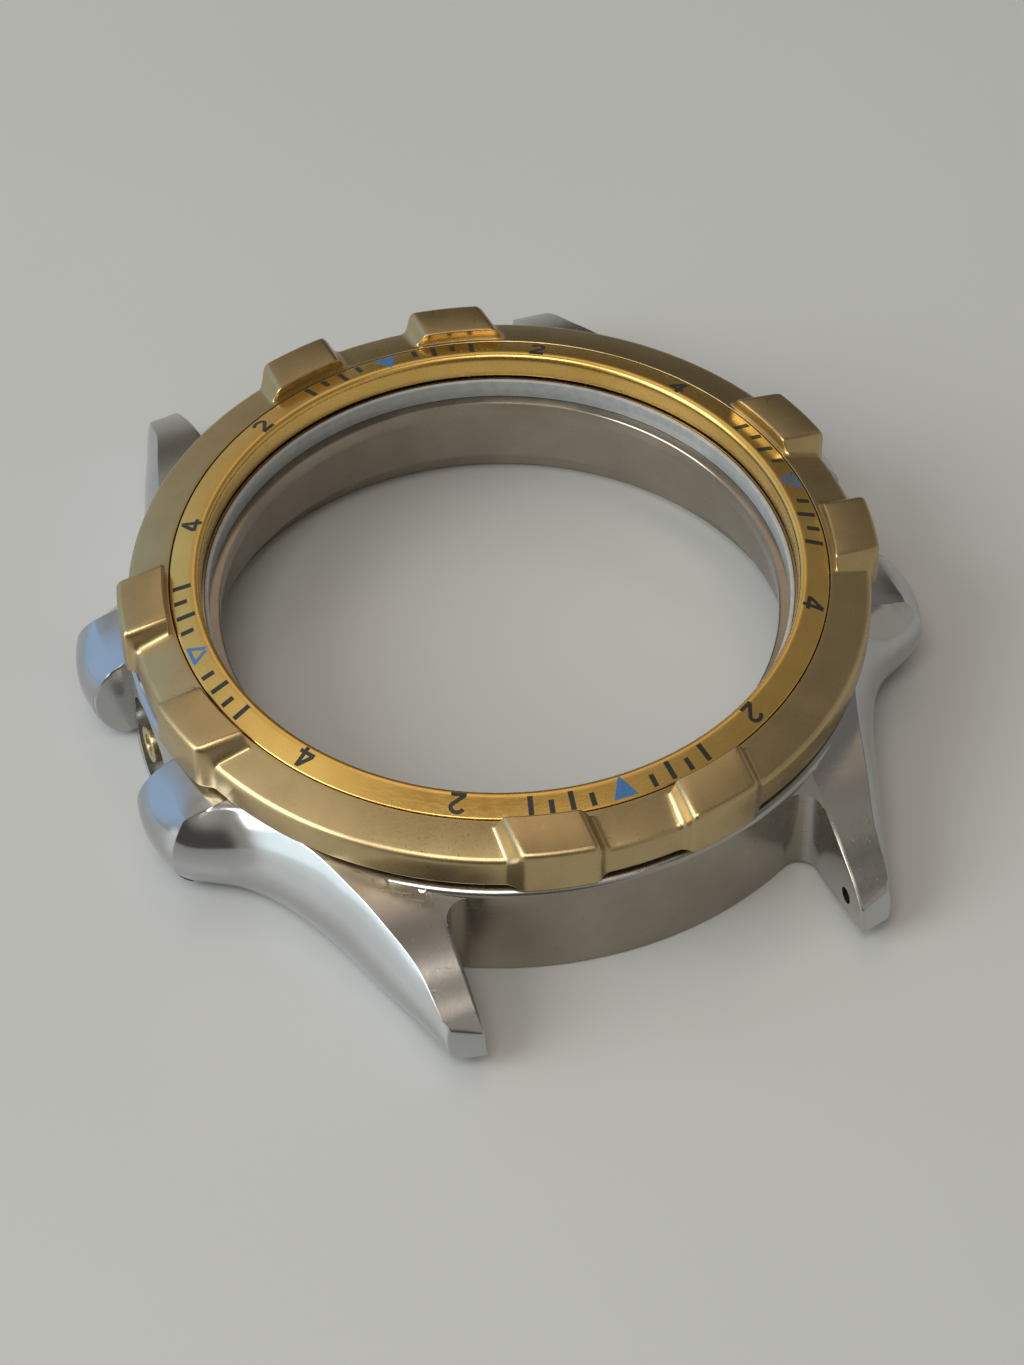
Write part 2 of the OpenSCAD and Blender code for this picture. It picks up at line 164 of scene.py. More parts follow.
# A tab reaches between these distances from the axis of its quarter, with sloping flanks
TAB_START = 2.5
TAB_END = 6.2
TAB_FLANK = 0.45
TAB_FOOT_EDGE = 0.35
TAB_TOP_EDGE = 0.26
PAST_TAB = 0.8
FLANGE_R = 15.85
FLANGE_Z = 7.6
SEAT_FLOOR_Z = 8.0
SCALE_LOW_Z = 8.1
SCALE_R = 16.89
SCALE_BORE_R = 15.33
SCALE_SKIRT_R = 15.75
SCALE_CREST_Z = 9.14
CLICKS = 60
# Notch of a click: width, depth and length
NOTCH = (1.3, 0.45, 1.4)
NOTCH_OVERRUN = 0.3
# Edges of the bezel's section, from its outer foot up and in, on the plain ring and on a tab
PLAIN_EDGES = (0.12, 0.3, 0.02, 0.02)
TAB_EDGES = (0.15, 0.3, 0.12, 0.04)

LATHE_STEPS = 288
# A rounded corner takes at most this share of each edge beside it
CORNER_SHARE = 0.45
WELD_DISTANCE = 0.0005
INK_WELD_DISTANCE = 0.00001


def arc(centre, radius, start, end, steps):
    """Points (x, y) of an arc, from angle start to end in degrees."""
    angles = [math.radians(start + (end - start) * i / steps) for i in range(steps + 1)]
    return [Vector((centre[0] + radius * math.cos(a), centre[1] + radius * math.sin(a))) for a in angles]


def soften(points, radii, steps=3):
    """Rounds the corners of a closed outline, each by its own radius."""
    rounded = []
    for i, corner in enumerate(points):
        before, after = points[i - 1] - corner, points[(i + 1) % len(points)] - corner
        if radii[i] == 0:
            rounded.append(corner)
            continue
        start = corner + before.normalized() * min(radii[i], CORNER_SHARE * before.length)
        end = corner + after.normalized() * min(radii[i], CORNER_SHARE * after.length)
        for t in (k / steps for k in range(steps + 1)):
            rounded.append(start * (1 - t) ** 2 + corner * (2 * t * (1 - t)) + end * t ** 2)
    return rounded


def make_object(name, points, faces):
    """An object from points in millimetres."""
    mesh = bpy.data.meshes.new(name)
    mesh.from_pydata([Vector(p) * MM for p in points], [], faces)
    mesh.validate()
    mesh.update()
    made = bpy.data.objects.new(name, mesh)
    bpy.context.scene.collection.objects.link(made)
    return made


def skin(name, rows, closed):
    """A surface over rows of points, each row a closed loop. It closes on its first row, or has end caps."""
    n = len(rows[0])
    count = len(rows)
    faces = []
    for j in range(count if closed else count - 1):
        a, b = j * n, (j + 1) % count * n
        faces += [(a + i, a + (i + 1) % n, b + (i + 1) % n, b + i) for i in range(n)]
    if not closed:
        faces += [tuple(reversed(range(n))), tuple(range((count - 1) * n, count * n))]
    return make_object(name, [p for row in rows for p in row], faces)


def weld(obj, distance=WELD_DISTANCE):
    """Joins points that lie together, such as those on the axis of a lathe."""
    bm = bmesh.new()
    bm.from_mesh(obj.data)
    bmesh.ops.remove_doubles(bm, verts=bm.verts, dist=distance * MM)
    bmesh.ops.recalc_face_normals(bm, faces=bm.faces)
    bm.to_mesh(obj.data)
    bm.free()
    return obj


def lathe(name, outline, steps=LATHE_STEPS):
    """A closed outline of (r, z) turned round the Z axis."""
    rows = []
    for j in range(steps):
        turn = 2 * math.pi * j / steps
        rows.append([Vector((p[0] * math.cos(turn), p[0] * math.sin(turn), p[1])) for p in outline])
    return weld(skin(name, rows, closed=True))


def combine(target, tool, operation):
    """Applies a solid Boolean of tool to target, and removes the tool."""
    modifier = target.modifiers.new("solid", "BOOLEAN")
    modifier.operation = operation
    modifier.solver = "MANIFOLD"
    modifier.object = tool
    depsgraph = bpy.context.evaluated_depsgraph_get()
    mesh = bpy.data.meshes.new_from_object(target.evaluated_get(depsgraph))
    target.modifiers.clear()
    target.data = mesh
    bpy.data.objects.remove(tool)


def cylinder_at(start, end, radius, steps=48):
    """A round cutter between two points."""
    start, end = Vector(start), Vector(end)
    turn = (end - start).to_track_quat("Z", "X")
    rows = []
    for centre in (start, end):
        circle = arc((0, 0), radius, 0, 360, steps)[:-1]
        rows.append([centre + turn @ Vector((p.x, p.y, 0)) for p in circle])
    return weld(skin("cutter", rows, closed=False))


def finish_piece(obj, body, material, replaces, smooth_angle=SHARP_ANGLE):
    """Shades a piece, and says what it rides on, stands for and takes its finish from.

    A piece that bends between two bodies gets None as its body here."""
    obj.data.shade_smooth()
    obj.data.set_sharp_from_angle(angle=math.radians(smooth_angle))
    obj.data.materials.clear()
    obj.data.materials.append(material)
    if body:
        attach(obj, body)
    if replaces:
        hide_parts(*replaces)
    return obj


# Case body: the round blank, the four flanks, then the bores

# Widest line of a flank and its top edge, as shares: of the way out from the tip to the guard, and of
# the way from the crown gap to the tip. The first part runs from the tip of a lug to the crisp edge
# of the guard, and the second over the guard to its end
WIDE_SHARES = ([(-0.046, 0.978), (-0.038, 0.95), (-0.015, 0.916), (0.057, 0.823), (0.155, 0.704),
                (0.26, 0.567), (0.373, 0.447), (0.495, 0.353), (0.63, 0.289), (0.775, 0.254),
                (0.86, 0.236), (0.93, 0.215)],
               [(0.93, 0.215), (0.96, 0.179), (0.987, 0.132), (1, 0.085), (0.994, 0.04), (0.978, 0)])
TOP_SHARES = ([(-0.072, 0.968), (-0.062, 0.952), (-0.042, 0.91), (-0.014, 0.81), (0.07, 0.685),
               (0.164, 0.5475), (0.272, 0.415), (0.4, 0.31), (0.544, 0.23), (0.7, 0.191),
               (0.775, 0.187), (0.828, 0.189)],
              [(0.828, 0.189), (0.836, 0.16), (0.833, 0.128), (0.83, 0.085), (0.836, 0.04), (0.85, 0)])
SPLINE_STEPS = 6
LUG_OUT_X = HALF_GAP + LUG_TIP_W
LUG_DROP = BODY_H - TIP_TOP_Z
LUG_CURVE_R = (LUG_DROP ** 2 + (HALF_SPAN - LUG_FLAT_Y) ** 2) / (2 * LUG_DROP)
# The shoulder slopes down between these radii, and the tops of the lugs run into it
SHOULDER = (18.7, 19.9)
SHOULDER_SLOPE = 0.2
LUG_BLEND = (18.3, 19.8)
SINK = 0.01


def spline(points, i, t):
    """A point of the smooth curve through points, a share t of the way from point i to the next."""
    last = len(points) - 1
    a, b, c, d = (Vector(points[min(max(k, 0), last)]) for k in range(i - 1, i + 3))
    return (2 * b + t * (c - a) + t * t * (2 * a - 5 * b + 4 * c - d) + t ** 3 * (3 * b - a - 3 * c + d)) / 2


def flank_line(parts):
    """A line of the flank in millimetres, from the shares of its two parts."""
    fine = []
    for part in parts:
        fine += [spline(part, i, k / SPLINE_STEPS) for i in range(len(part) - 1) for k in range(SPLINE_STEPS)]
    fine.append(Vector(parts[-1][-1]))
    return [Vector((LUG_OUT_X + min(s.x, 1) * (HALF_WIDTH - LUG_OUT_X),
                    HALF_GUARD + s.y * (HALF_SPAN - HALF_GUARD))) for s in fine]


def smooth_step(low, high, value):
    """0 below low, 1 above high, and a smooth rise between them."""
    t = min(max((value - low) / (high - low), 0), 1)
    return t * t * (3 - 2 * t)


def lug_top(y):
    """Height of the top of a lug at distance y from the middle."""
    if y <= LUG_FLAT_Y:
        return BODY_H
    return BODY_H - LUG_CURVE_R + math.sqrt(LUG_CURVE_R ** 2 - (y - LUG_FLAT_Y) ** 2)


def lug_low(y):
    """Height of the underside of a lug at distance y from the middle."""
    return max(0, TIP_LOW_Z * (y - LUG_UNDER_Y) / (HALF_SPAN - LUG_UNDER_Y))


def shoulder_fall(r):
    """How far the sloped shoulder lies below the top of the body at radius r."""
    return SHOULDER_SLOPE * (min(max(r, SHOULDER[0]), SHOULDER[1]) - SHOULDER[0])


def top_z(x, y, fall=0):
    """Height of the top surface: it slopes down at the shoulder, along a lug, or by fall at a guard."""
    r = math.hypot(x, y)
    lug_fall = smooth_step(*LUG_BLEND, r) * (BODY_H - lug_top(y))
    return BODY_H - SINK - math.hypot(shoulder_fall(r), lug_fall, fall)


def flank_section(point, top, inward):
    """Section of a flank, as a closed loop from the inner low corner out, up and back."""
    under_steps, rise_steps, top_steps, crowding = 8, 16, 14, 1.5
    guard = (max(point.x - LUG_OUT_X, 0) / (HALF_WIDTH - LUG_OUT_X)) ** 2
    low = lug_low(point.y) + GUARD_LOW_Z * guard
    wide_z = low + WIDE_HIGH_SHARE * (lug_top(top.y) - low)
    under = LUG_UNDER + (GUARD_UNDER - LUG_UNDER) * guard
    under = under * (wide_z - low) / (WIDE_HIGH_SHARE * BODY_H)
    loop = [Vector((HALF_GAP, top.y, lug_low(top.y) + GUARD_LOW_Z * guard))]
    for k in range(under_steps):
        t = 1 - k / under_steps
        q = point + inward * under * t ** FLANK_BULGE
        loop.append(Vector((q.x, q.y, wide_z - t * (wide_z - low))))
    for k in range(rise_steps + 1):
        t = k / rise_steps
        q = point + (top - point) * t ** FLANK_BULGE
        loop.append(Vector((q.x, q.y, wide_z + t * (top_z(q.x, q.y, GUARD_DROP * guard) - wide_z))))
    shoulder = math.sqrt(max(LUG_BLEND[0] ** 2 - top.y ** 2, 0))
    shoulder = min(max(shoulder, HALF_GAP + EDGE), top.x - EDGE)
    for k in range(1, top_steps + 1):
        x = top.x + (HALF_GAP - top.x) * (k / top_steps) ** crowding
        fall = GUARD_DROP * guard * (max(x - shoulder, 0) / (top.x - shoulder)) ** 2
        loop.append(Vector((x, top.y, top_z(x, top.y, fall))))
    inner_low, outer_low, crest, inner_top = SECTION_EDGES
    radii = [inner_low, outer_low] + [0] * (under_steps + rise_steps - 1) + [crest]
    return soften(loop, radii + [0] * (top_steps - 1) + [inner_top])


def shrunk(row, inset):
    """A copy of an end row drawn in towards its middle."""
    most_share = 0.3
    middle = sum(row, Vector()) / len(row)
    return [p + (middle - p).normalized() * min(inset, most_share * (middle - p).length) for p in row]


def on_tip(p, back):
    """A point of a section moved along the lug to the slanted plane of its tip, or a distance back."""
    rounds = 5
    share = (p.z - lug_low(p.y)) / (lug_top(p.y) - lug_low(p.y))
    y = p.y
    for _ in range(rounds):
        z = lug_low(y) + share * (lug_top(y) - lug_low(y))
        y = HALF_SPAN - back - TIP_SLANT * (p.x - HALF_GAP) - TIP_LEAN * (z - TIP_LOW_Z)
    return Vector((p.x, y, z))


def flank():
    """Rows of one lug with the flank and guard beside it. Its end faces are plane, with soft edges."""
    wide, tops = flank_line(WIDE_SHARES), flank_line(TOP_SHARES)
    rows = []
    for j, point in enumerate(wide):
        along = (wide[min(j + 1, len(wide) - 1)] - wide[max(j - 1, 0)]).normalized()
        inward = Vector((-1, 0)) if j == len(wide) - 1 else Vector((along.y, -along.x))
        rows.append(flank_section(point, tops[j], inward))
    tip_rows = [shrunk([on_tip(p, TIP_EDGE * back) for p in rows[0]], TIP_EDGE * inset)
                for back, inset in TIP_EDGE_SHARES]
    end_rows = [[p + Vector((0, GUARD_END_EDGE, 0)) for p in rows[-1]], shrunk(rows[-1], GUARD_END_EDGE)]
    return tip_rows + rows[TIP_ROWS:-1] + end_rows


def root_fillet():
    """The round inside corner between a lug and the wall of the body, under the lug's top."""
    centre_x = HALF_GAP - ROOT_FILLET
    centre = (centre_x, math.sqrt((CASE_R + ROOT_FILLET) ** 2 - centre_x ** 2))
    share = CASE_R / (CASE_R + ROOT_FILLET)
    wall = (centre[0] * share, centre[1] * share)
    start = math.degrees(math.atan2(wall[1] - centre[1], wall[0] - centre[0])) % 360
    inner_y = math.sqrt(CASE_R ** 2 - HALF_GAP ** 2) - 2 * EDGE
    outline = arc(centre, ROOT_FILLET, start, 360, 16)
    outline += [Vector((HALF_GAP + EDGE, centre[1])), Vector((HALF_GAP + EDGE, inner_y)),
                Vector((wall[0], inner_y))]
    return [[Vector((p.x, p.y, EDGE)) for p in outline],
            [Vector((p.x, p.y, top_z(p.x, p.y) - SINK)) for p in outline]]


def flank_cut(angles, low_z):
    """A wedge of the round body that a flank takes the place of, between two angles and above low_z."""
    middle = (angles[0] + angles[1]) / 2
    outline = arc((0, 0), CASE_R - FLANK_CUT, middle + CUT_NARROWS * (angles[0] - middle),
                  middle + CUT_NARROWS * (angles[1] - middle), 16)
    for angle in reversed(angles):
        turn = math.radians(angle)
        outline.append(Vector((math.cos(turn), math.sin(turn))) * (CASE_R + OVERRUN))
    return [[Vector((p.x, p.y, z)) for p in outline] for z in (low_z, BODY_H + OVERRUN)]


def mid_case_mesh():
    """The case body as one closed mesh."""
    blank = [(0, 0), (CASE_R, 0), (CASE_R, BODY_H - shoulder_fall(CASE_R)), (SHOULDER[0], BODY_H),
             (GASKET_GROOVE[1], BODY_H), (GASKET_GROOVE[1], GASKET_GROOVE[2]),
             (GASKET_GROOVE[0], GASKET_GROOVE[2]), (GASKET_GROOVE[0], BODY_H),
             (NECK_R, BODY_H), (NECK_R, WIRE_GROOVE[0]), (WIRE_GROOVE[2], WIRE_GROOVE[0]),
             (WIRE_GROOVE[2], WIRE_GROOVE[1]), (NECK_R, WIRE_GROOVE[1]), (NECK_R, NECK_Z), (0, NECK_Z)]
    radii = [0, EDGE, RIM_EDGE, SHOULDER_EDGE] + [GROOVE_EDGE] * 4 + [FOOT_EDGE] + [FINE_EDGE] * 4
    radii += [NECK_EDGE, 0]
    body = lathe("mid_case_body", soften([Vector(p) for p in blank], radii))
    shapes = [(flank_cut(CUT_ANGLES, -OVERRUN), "DIFFERENCE"),
              (flank_cut(RIM_CUT_ANGLES, RIM_CUT_Z), "DIFFERENCE"),
              (flank(), "UNION"), (root_fillet(), "UNION")]
    for rows, operation in shapes:
        for x, y in ((1, 1), (1, -1), (-1, 1), (-1, -1)):
            mirrored = [[Vector((p.x * x, p.y * y, p.z)) for p in row] for row in rows]
            combine(body, weld(skin("flank", mirrored, closed=False)), operation)
    bore = [(0, -OVERRUN), (BACK_R + BACK_CHAMFER, -OVERRUN), (BACK_R + BACK_CHAMFER, 0),
            (BACK_R, BACK_CHAMFER), (BACK_R, BACK_DEPTH), (MOVEMENT_R, BACK_DEPTH), (MOVEMENT_R, LIP_Z),
            (LIP_R, LIP_Z), (LIP_R, LEDGE_Z), (CRYSTAL_R, LEDGE_Z), (CRYSTAL_R, NECK_Z + OVERRUN),
            (0, NECK_Z + OVERRUN)]
    radii = [0, 0] + [FOOT_EDGE] * 3 + [EDGE / 2, LIP_EDGE, LIP_EDGE, LEDGE_EDGE, FOOT_EDGE, 0, 0]
    combine(body, lathe("bore", soften([Vector(p) for p in bore], radii)), "DIFFERENCE")
    recess_x, outside_x = CASE_R - CROWN_RECESS_DEPTH, CASE_R + OVERRUN
    cutters = [cylinder_at((MOVEMENT_R - OVERRUN, 0, CROWN_Z), (outside_x, 0, CROWN_Z), TUBE_R),
               cylinder_at((recess_x, 0, CROWN_Z), (outside_x, 0, CROWN_Z), CROWN_RECESS_R, 96)]
    for y in (-1, 1):
        end_x, hole_y = HALF_GAP + BAR_HOLE_DEPTH, y * (HALF_SPAN - BAR_HOLE_IN)
        cutters.append(cylinder_at((-end_x, hole_y, BAR_HOLE_Z), (end_x, hole_y, BAR_HOLE_Z), BAR_HOLE_R))
    for turn in (math.radians(a) for a in CLICK_ANGLES):
        x, y = BALL_TRACK_R * math.cos(turn), BALL_TRACK_R * math.sin(turn)
        cutters.append(cylinder_at((x, y, BODY_H - POCKET_DEPTH), (x, y, BODY_H + EDGE), POCKET_R, 24))
    for cutter in cutters:
        combine(body, cutter, "DIFFERENCE")
    return body


def click_spring(node):
    """A coil of round wire in the place of a click spring's node, and the middles of its two ends."""
    low, high = (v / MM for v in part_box(node))
    axis = (low + high) / 2
    x, y = Vector((axis.x, axis.y)).normalized() * BALL_TRACK_R
    ends = [Vector((x, y, low.z + SPRING_WIRE_R)), Vector((x, y, high.z - SPRING_WIRE_R))]
    coil_r = POCKET_R - SPRING_FIT - SPRING_WIRE_R
    steps, sides = 24, 12
    rows = []
    for i in range(SPRING_TURNS * steps + 1):
        turn = 2 * math.pi * i / steps
        out = Vector((math.cos(turn), math.sin(turn), 0))
        centre = ends[0].lerp(ends[1], i / (SPRING_TURNS * steps)) + out * coil_r
        circle = arc((0, 0), SPRING_WIRE_R, 0, 360, sides)[:-1]
        rows.append([centre + out * p.x + Vector((0, 0, p.y)) for p in circle])
    return weld(skin(node + "_coil", rows, closed=False)), [end * MM for end in ends]


# Bezel: its section changes from the plain ring to a tab as a column goes over a tab's flank

def bezel_section(share):
    """Section of the bezel as (r, z), from the plain ring at share 0 to a tab at share 1."""
    def slope_z(r):
        """Height of the bezel's sloping top at radius r."""
        return SEAM_Z - (SEAM_Z - BEZEL_SHOULDER_Z) * (r - SEAT_R) / (BEZEL_R - SEAT_R)
    plain = [(BEZEL_R, BEZEL_LOW.z), (BEZEL_R, BEZEL_SHOULDER_Z),
             (TAB_IN_R + TAB_FOOT, slope_z(TAB_IN_R + TAB_FOOT)), (TAB_IN_R, slope_z(TAB_IN_R))]
    tab = [(TAB_R, BEZEL_LOW.z), (TAB_R, TAB_OUT_Z), (TAB_IN_R, BEZEL_HIGH.z), (TAB_IN_R, slope_z(TAB_IN_R))]
    corners = [Vector(a).lerp(Vector(b), share) for a, b in zip(plain, tab)]
    radii = [a + (b - a) * share for a, b in zip(PLAIN_EDGES, TAB_EDGES)]
    fixed = [(SEAT_R, SEAM_Z), (SEAT_R, SEAT_FLOOR_Z), (FLANGE_R, SEAT_FLOOR_Z), (FLANGE_R, FLANGE_Z),
             (BEZEL_BORE_R, FLANGE_Z), (BEZEL_BORE_R, WIRE_GROOVE[1]), (BEZEL_GROOVE_R, WIRE_GROOVE[1]),
             (BEZEL_GROOVE_R, WIRE_GROOVE[0]), (BEZEL_BORE_R, WIRE_GROOVE[0]), (BEZEL_BORE_R, BEZEL_LOW.z)]
    fixed_radii = [SEAM_EDGE, FOOT_EDGE] + [GROOVE_EDGE] * 8
    return soften(corners + [Vector(p) for p in fixed], radii + fixed_radii)


def bezel_columns():
    """Columns of half a quarter of the bezel: (distance from the quarter's axis, share of a tab)."""
    height = BEZEL_HIGH.z - SEAM_Z
    widest = 0.4
    reach = TAB_END + PAST_TAB
    outline = [Vector(p) for p in ((0, 0), (TAB_START - TAB_FLANK, 0), (TAB_START, height),
                                   (TAB_END, height), (TAB_END + TAB_FLANK, 0), (reach, 0),
                                   (reach, -OVERRUN), (0, -OVERRUN))]
    radii = [0, TAB_FOOT_EDGE, TAB_TOP_EDGE, TAB_TOP_EDGE, TAB_FOOT_EDGE, 0, 0, 0]
    ramp = soften(outline, radii, steps=7)[:-2]
    columns = []
    for a, b in zip(ramp, ramp[1:]):
        pieces = max(1, math.ceil((b.x - a.x) / widest))
        columns += [a.lerp(b, k / pieces) for k in range(pieces)]
    columns.append(ramp[-1])
    return [(p.x, p.y / height) for p in columns]


def bezel_mesh():
    """The bezel as one closed mesh, with its columns along the straight sides of the tabs."""
    columns = bezel_columns()
    reach = columns[-1][0]
    plain_steps = 18
    half = [(distance, 0, share) for distance, share in columns]
    half += [(reach, k / plain_steps, 0) for k in range(1, plain_steps + 1)]
    rows = []
    for quarter in range(4):
        spread = [(-1, c) for c in reversed(half[1:-1])] + [(1, c) for c in half]
        for side, (distance, past, share) in spread:
            row = []
            for r, z in bezel_section(share):
                turn = math.asin(distance / r)
                turn = quarter * math.pi / 2 + side * (turn + past * (math.pi / 4 - turn))
                row.append(Vector((r * math.cos(turn), r * math.sin(turn), z)))
            rows.append(row)
    ring = weld(skin("bezel_ring", rows, closed=True))
    width, depth, length = NOTCH
    low = BEZEL_LOW.z
    for k in range(CLICKS):
        turn = Matrix.Rotation(math.radians(CLICK_ANGLES[0] + 360 * k / CLICKS), 3, "Z")
        section = [(-width / 2, low - NOTCH_OVERRUN), (width / 2, low - NOTCH_OVERRUN), (width / 2, low),
                   (0, low + depth), (-width / 2, low)]
        ends = [[turn @ Vector((BALL_TRACK_R + x, y, z)) for y, z in section]
                for x in (-length / 2, length / 2)]
        if k == 0:
            notches = weld(skin("notches", ends, closed=False))
        else:
            combine(notches, weld(skin("notch", ends, closed=False)), "UNION")
    combine(ring, notches, "DIFFERENCE")
    return ring


# Printed ring and its marks

# Marks start a little in from the seam, and lie on the ring, each further stroke a little higher
MARK_OUT = 0.14
MARK_H = 1.14
MARK_LIFT = 0.008
STROKE_LIFT = 0.002
INK_THICK = 0.02
INK_W = 0.21
WIDEN = 1.2

PRINT_CORNERS = ((SCALE_R, SEAM_Z), (SCALE_BORE_R, SCALE_CREST_Z))
SCALE_OUTLINE = soften(
    [Vector(p) for p in ((SCALE_R, SCALE_LOW_Z), *PRINT_CORNERS, (SCALE_BORE_R, FLANGE_Z),
                         (SCALE_SKIRT_R, FLANGE_Z), (SCALE_SKIRT_R, SCALE_LOW_Z))],
    [GROOVE_EDGE, SEAM_EDGE, CREST_EDGE, FOOT_EDGE, FOOT_EDGE, FINE_EDGE], steps=8)
# The printed face starts at the outer edge of the ring and goes over its crest
PRINT_LINE = [p for p in SCALE_OUTLINE if p.y > SEAM_Z - SINK and p.x > SCALE_BORE_R + SINK]


def on_print(clockwise, x, s, lift):
    """A point of the printed face, x to the right of an angle clockwise from 12 and s in from the seam."""
    for a, b in zip(PRINT_LINE, PRINT_LINE[1:]):
        length = (b - a).length
        if s <= length:
            break
        s -= length
    along = (b - a).normalized()
    p = a + along * s + Vector((-along.y, along.x)) * -lift
    turn = math.radians(clockwise) + x / p.x
    return Vector((p.x * math.sin(turn), p.x * math.cos(turn), p.y))


def mark_strip(name, clockwise, left, right, lift):
    """A closed strip of ink between two rows of points (x, s)."""
    low = lift - INK_THICK
    rows = []
    for a, b in zip(left, right):
        rows.append([on_print(clockwise, *a, lift), on_print(clockwise, *b, lift),
                     on_print(clockwise, *b, low), on_print(clockwise, *a, low)])
    return skin(name, rows, closed=False)


def stroke(name, clockwise, path, width, lift):
    """A strip of ink of even width along a path of points (x, s)."""
    longest = 0.12
    fine = []
    for a, b in zip(path, path[1:]):
        pieces = max(1, math.ceil((Vector(b) - Vector(a)).length / longest))
        fine += [Vector(a).lerp(Vector(b), k / pieces) for k in range(pieces)]
    fine.append(Vector(path[-1]))
    left, right = [], []
    for i, p in enumerate(fine):
        along = (fine[min(i + 1, len(fine) - 1)] - fine[max(i - 1, 0)]).normalized()
        side = Vector((-along.y, along.x)) * width / 2
        left.append(p + side)
        right.append(p - side)
    return mark_strip(name, clockwise, left, right, lift)


def join(name, objects):
    """One object from several."""
    points, faces = [], []
    for o in objects:
        faces += [tuple(len(points) + v for v in p.vertices) for p in o.data.polygons]
        points += [v.co / MM for v in o.data.vertices]
        bpy.data.objects.remove(o)
    return weld(make_object(name, points, faces), INK_WELD_DISTANCE)


def numeral(name, clockwise, strokes):
    """A numeral from strokes in shares of its height, x from its middle and y up from its foot."""
    parts = []
    for i, path in enumerate(strokes):
        points = [(x * WIDEN * MARK_H, MARK_OUT + (1 - y) * MARK_H) for x, y in path]
        parts.append(stroke(name, clockwise, points, INK_W, MARK_LIFT + STROKE_LIFT * i))
    return join(name, parts)


TWO_STROKES = [[(p.x, p.y) for p in arc((0, 0.68), 0.23, 165, -35, 10)] + [(-0.22, 0.12)],
               [(-0.29, 0.07), (0.27, 0.07)]]
FOUR_STROKES = [[(0.1, 0), (0.1, 1)], [(0.08, 0.95), (-0.27, 0.31)], [(-0.32, 0.27), (0.3, 0.27)]]


def triangle(name, clockwise, hollow):
    """A triangle that points to the middle of the ring."""
    half_w, height, hollow_share, point_share, rows = 0.64, 1.22, 0.5, 0.99, 8
    outer = [(-half_w, MARK_OUT), (half_w, MARK_OUT), (0, MARK_OUT + height)]
    if not hollow:
        left = [(-half_w * (1 - k / rows * point_share), MARK_OUT + height * k / rows)
                for k in range(rows + 1)]
        right = [(-x, s) for x, s in left]
        return mark_strip(name, clockwise, left, right, MARK_LIFT)
    middle = Vector((0, MARK_OUT + height / 3))
    parts = []
    for i in range(3):
        a, b = Vector(outer[i]), Vector(outer[(i + 1) % 3])
        outside = [a.lerp(b, k / rows) for k in range(rows + 1)]
        inside = [middle + (a - middle).lerp(b - middle, k / rows) * hollow_share for k in range(rows + 1)]
        parts.append(mark_strip(name, clockwise, outside, inside, MARK_LIFT))
    return join(name, parts)


def ticks(name, clockwise, side):
    """A row of plain ticks beside a triangle, long and short in turn."""
    pitch, first, long_h, short_h, width = 3.6, 5.6, 1.0, 0.7, 0.27
    parts = []
    for k in range(4):
        height = long_h if k % 2 else short_h
        angle = clockwise + side * (first + pitch * k)
        parts.append(stroke(name, angle, [(0, MARK_OUT), (0, MARK_OUT + height)], width, MARK_LIFT))
    return join(name, parts)


# Materials

# The part of a noise's range that its values mostly lie in
NOISE_MIDDLE = (0.3, 0.7)
# Lengths along the turn are true at this radius
TURN_R = 17


def add_node(tree, kind, settings=None, **inputs):
    """A shader node, with its settings and its inputs, each a value or another node's output."""
    node = tree.nodes.new(kind)
    for key, value in (settings or {}).items():
        setattr(node, key, value)
    for key, value in inputs.items():
        socket = node.inputs[int(key[1:])] if key[0] == "_" else node.inputs[key.replace("_", " ")]
        if isinstance(value, bpy.types.NodeSocket):
            tree.links.new(value, socket)
        else:
            socket.default_value = value
    return node


def new_material(name):
    """An empty node material: its tree, its Principled shader and the object coordinates."""
    material = bpy.data.materials.new(name)
    material.use_nodes = True
    tree = material.node_tree
    shader = tree.nodes["Principled BSDF"]
    place = add_node(tree, "ShaderNodeTexCoord").outputs["Object"]
    return material, tree, shader, place


def noise(tree, place, size_mm, drawn=(1, 1, 1), detail=3, rough=0.5):
    """Noise with features of about size_mm, drawn out by a factor along each axis."""
    scale = tuple(1 / (size_mm * MM * factor) for factor in drawn)
    moved = add_node(tree, "ShaderNodeVectorMath", {"operation": "MULTIPLY"}, _0=place, _1=scale)
    return add_node(tree, "ShaderNodeTexNoise", Vector=moved.outputs[0], Scale=1.0, Detail=detail,
                    Roughness=rough).outputs["Fac"]


def remap(tree, value, low, high, to_low, to_high):
    """Takes a value from one range to another, kept within it."""
    return add_node(tree, "ShaderNodeMapRange", {"clamp": True}, _0=value, _1=low, _2=high, _3=to_low,
                    _4=to_high).outputs[0]


def mix_colour(tree, share, a, b):
    """A mix of two colours by a share."""
    return add_node(tree, "ShaderNodeMix", {"data_type": "RGBA"}, _0=share, _6=a, _7=b).outputs[2]


def stretch(tree, value, to_low=0.0, to_high=1.0):
    """Stretches the middle of a noise over a range."""
    return remap(tree, value, *NOISE_MIDDLE, to_low, to_high)


def relief(tree, shader, height, strength, depth_mm):
    """Gives a shader the bump of a height."""
    bump = add_node(tree, "ShaderNodeBump", Strength=strength, Distance=depth_mm * MM, Height=height)
    tree.links.new(bump.outputs[0], shader.inputs["Normal"])


def maths(tree, operation, a, b=0.0):
    """The result of a Math node."""
    return add_node(tree, "ShaderNodeMath", {"operation": operation}, _0=a, _1=b).outputs[0]


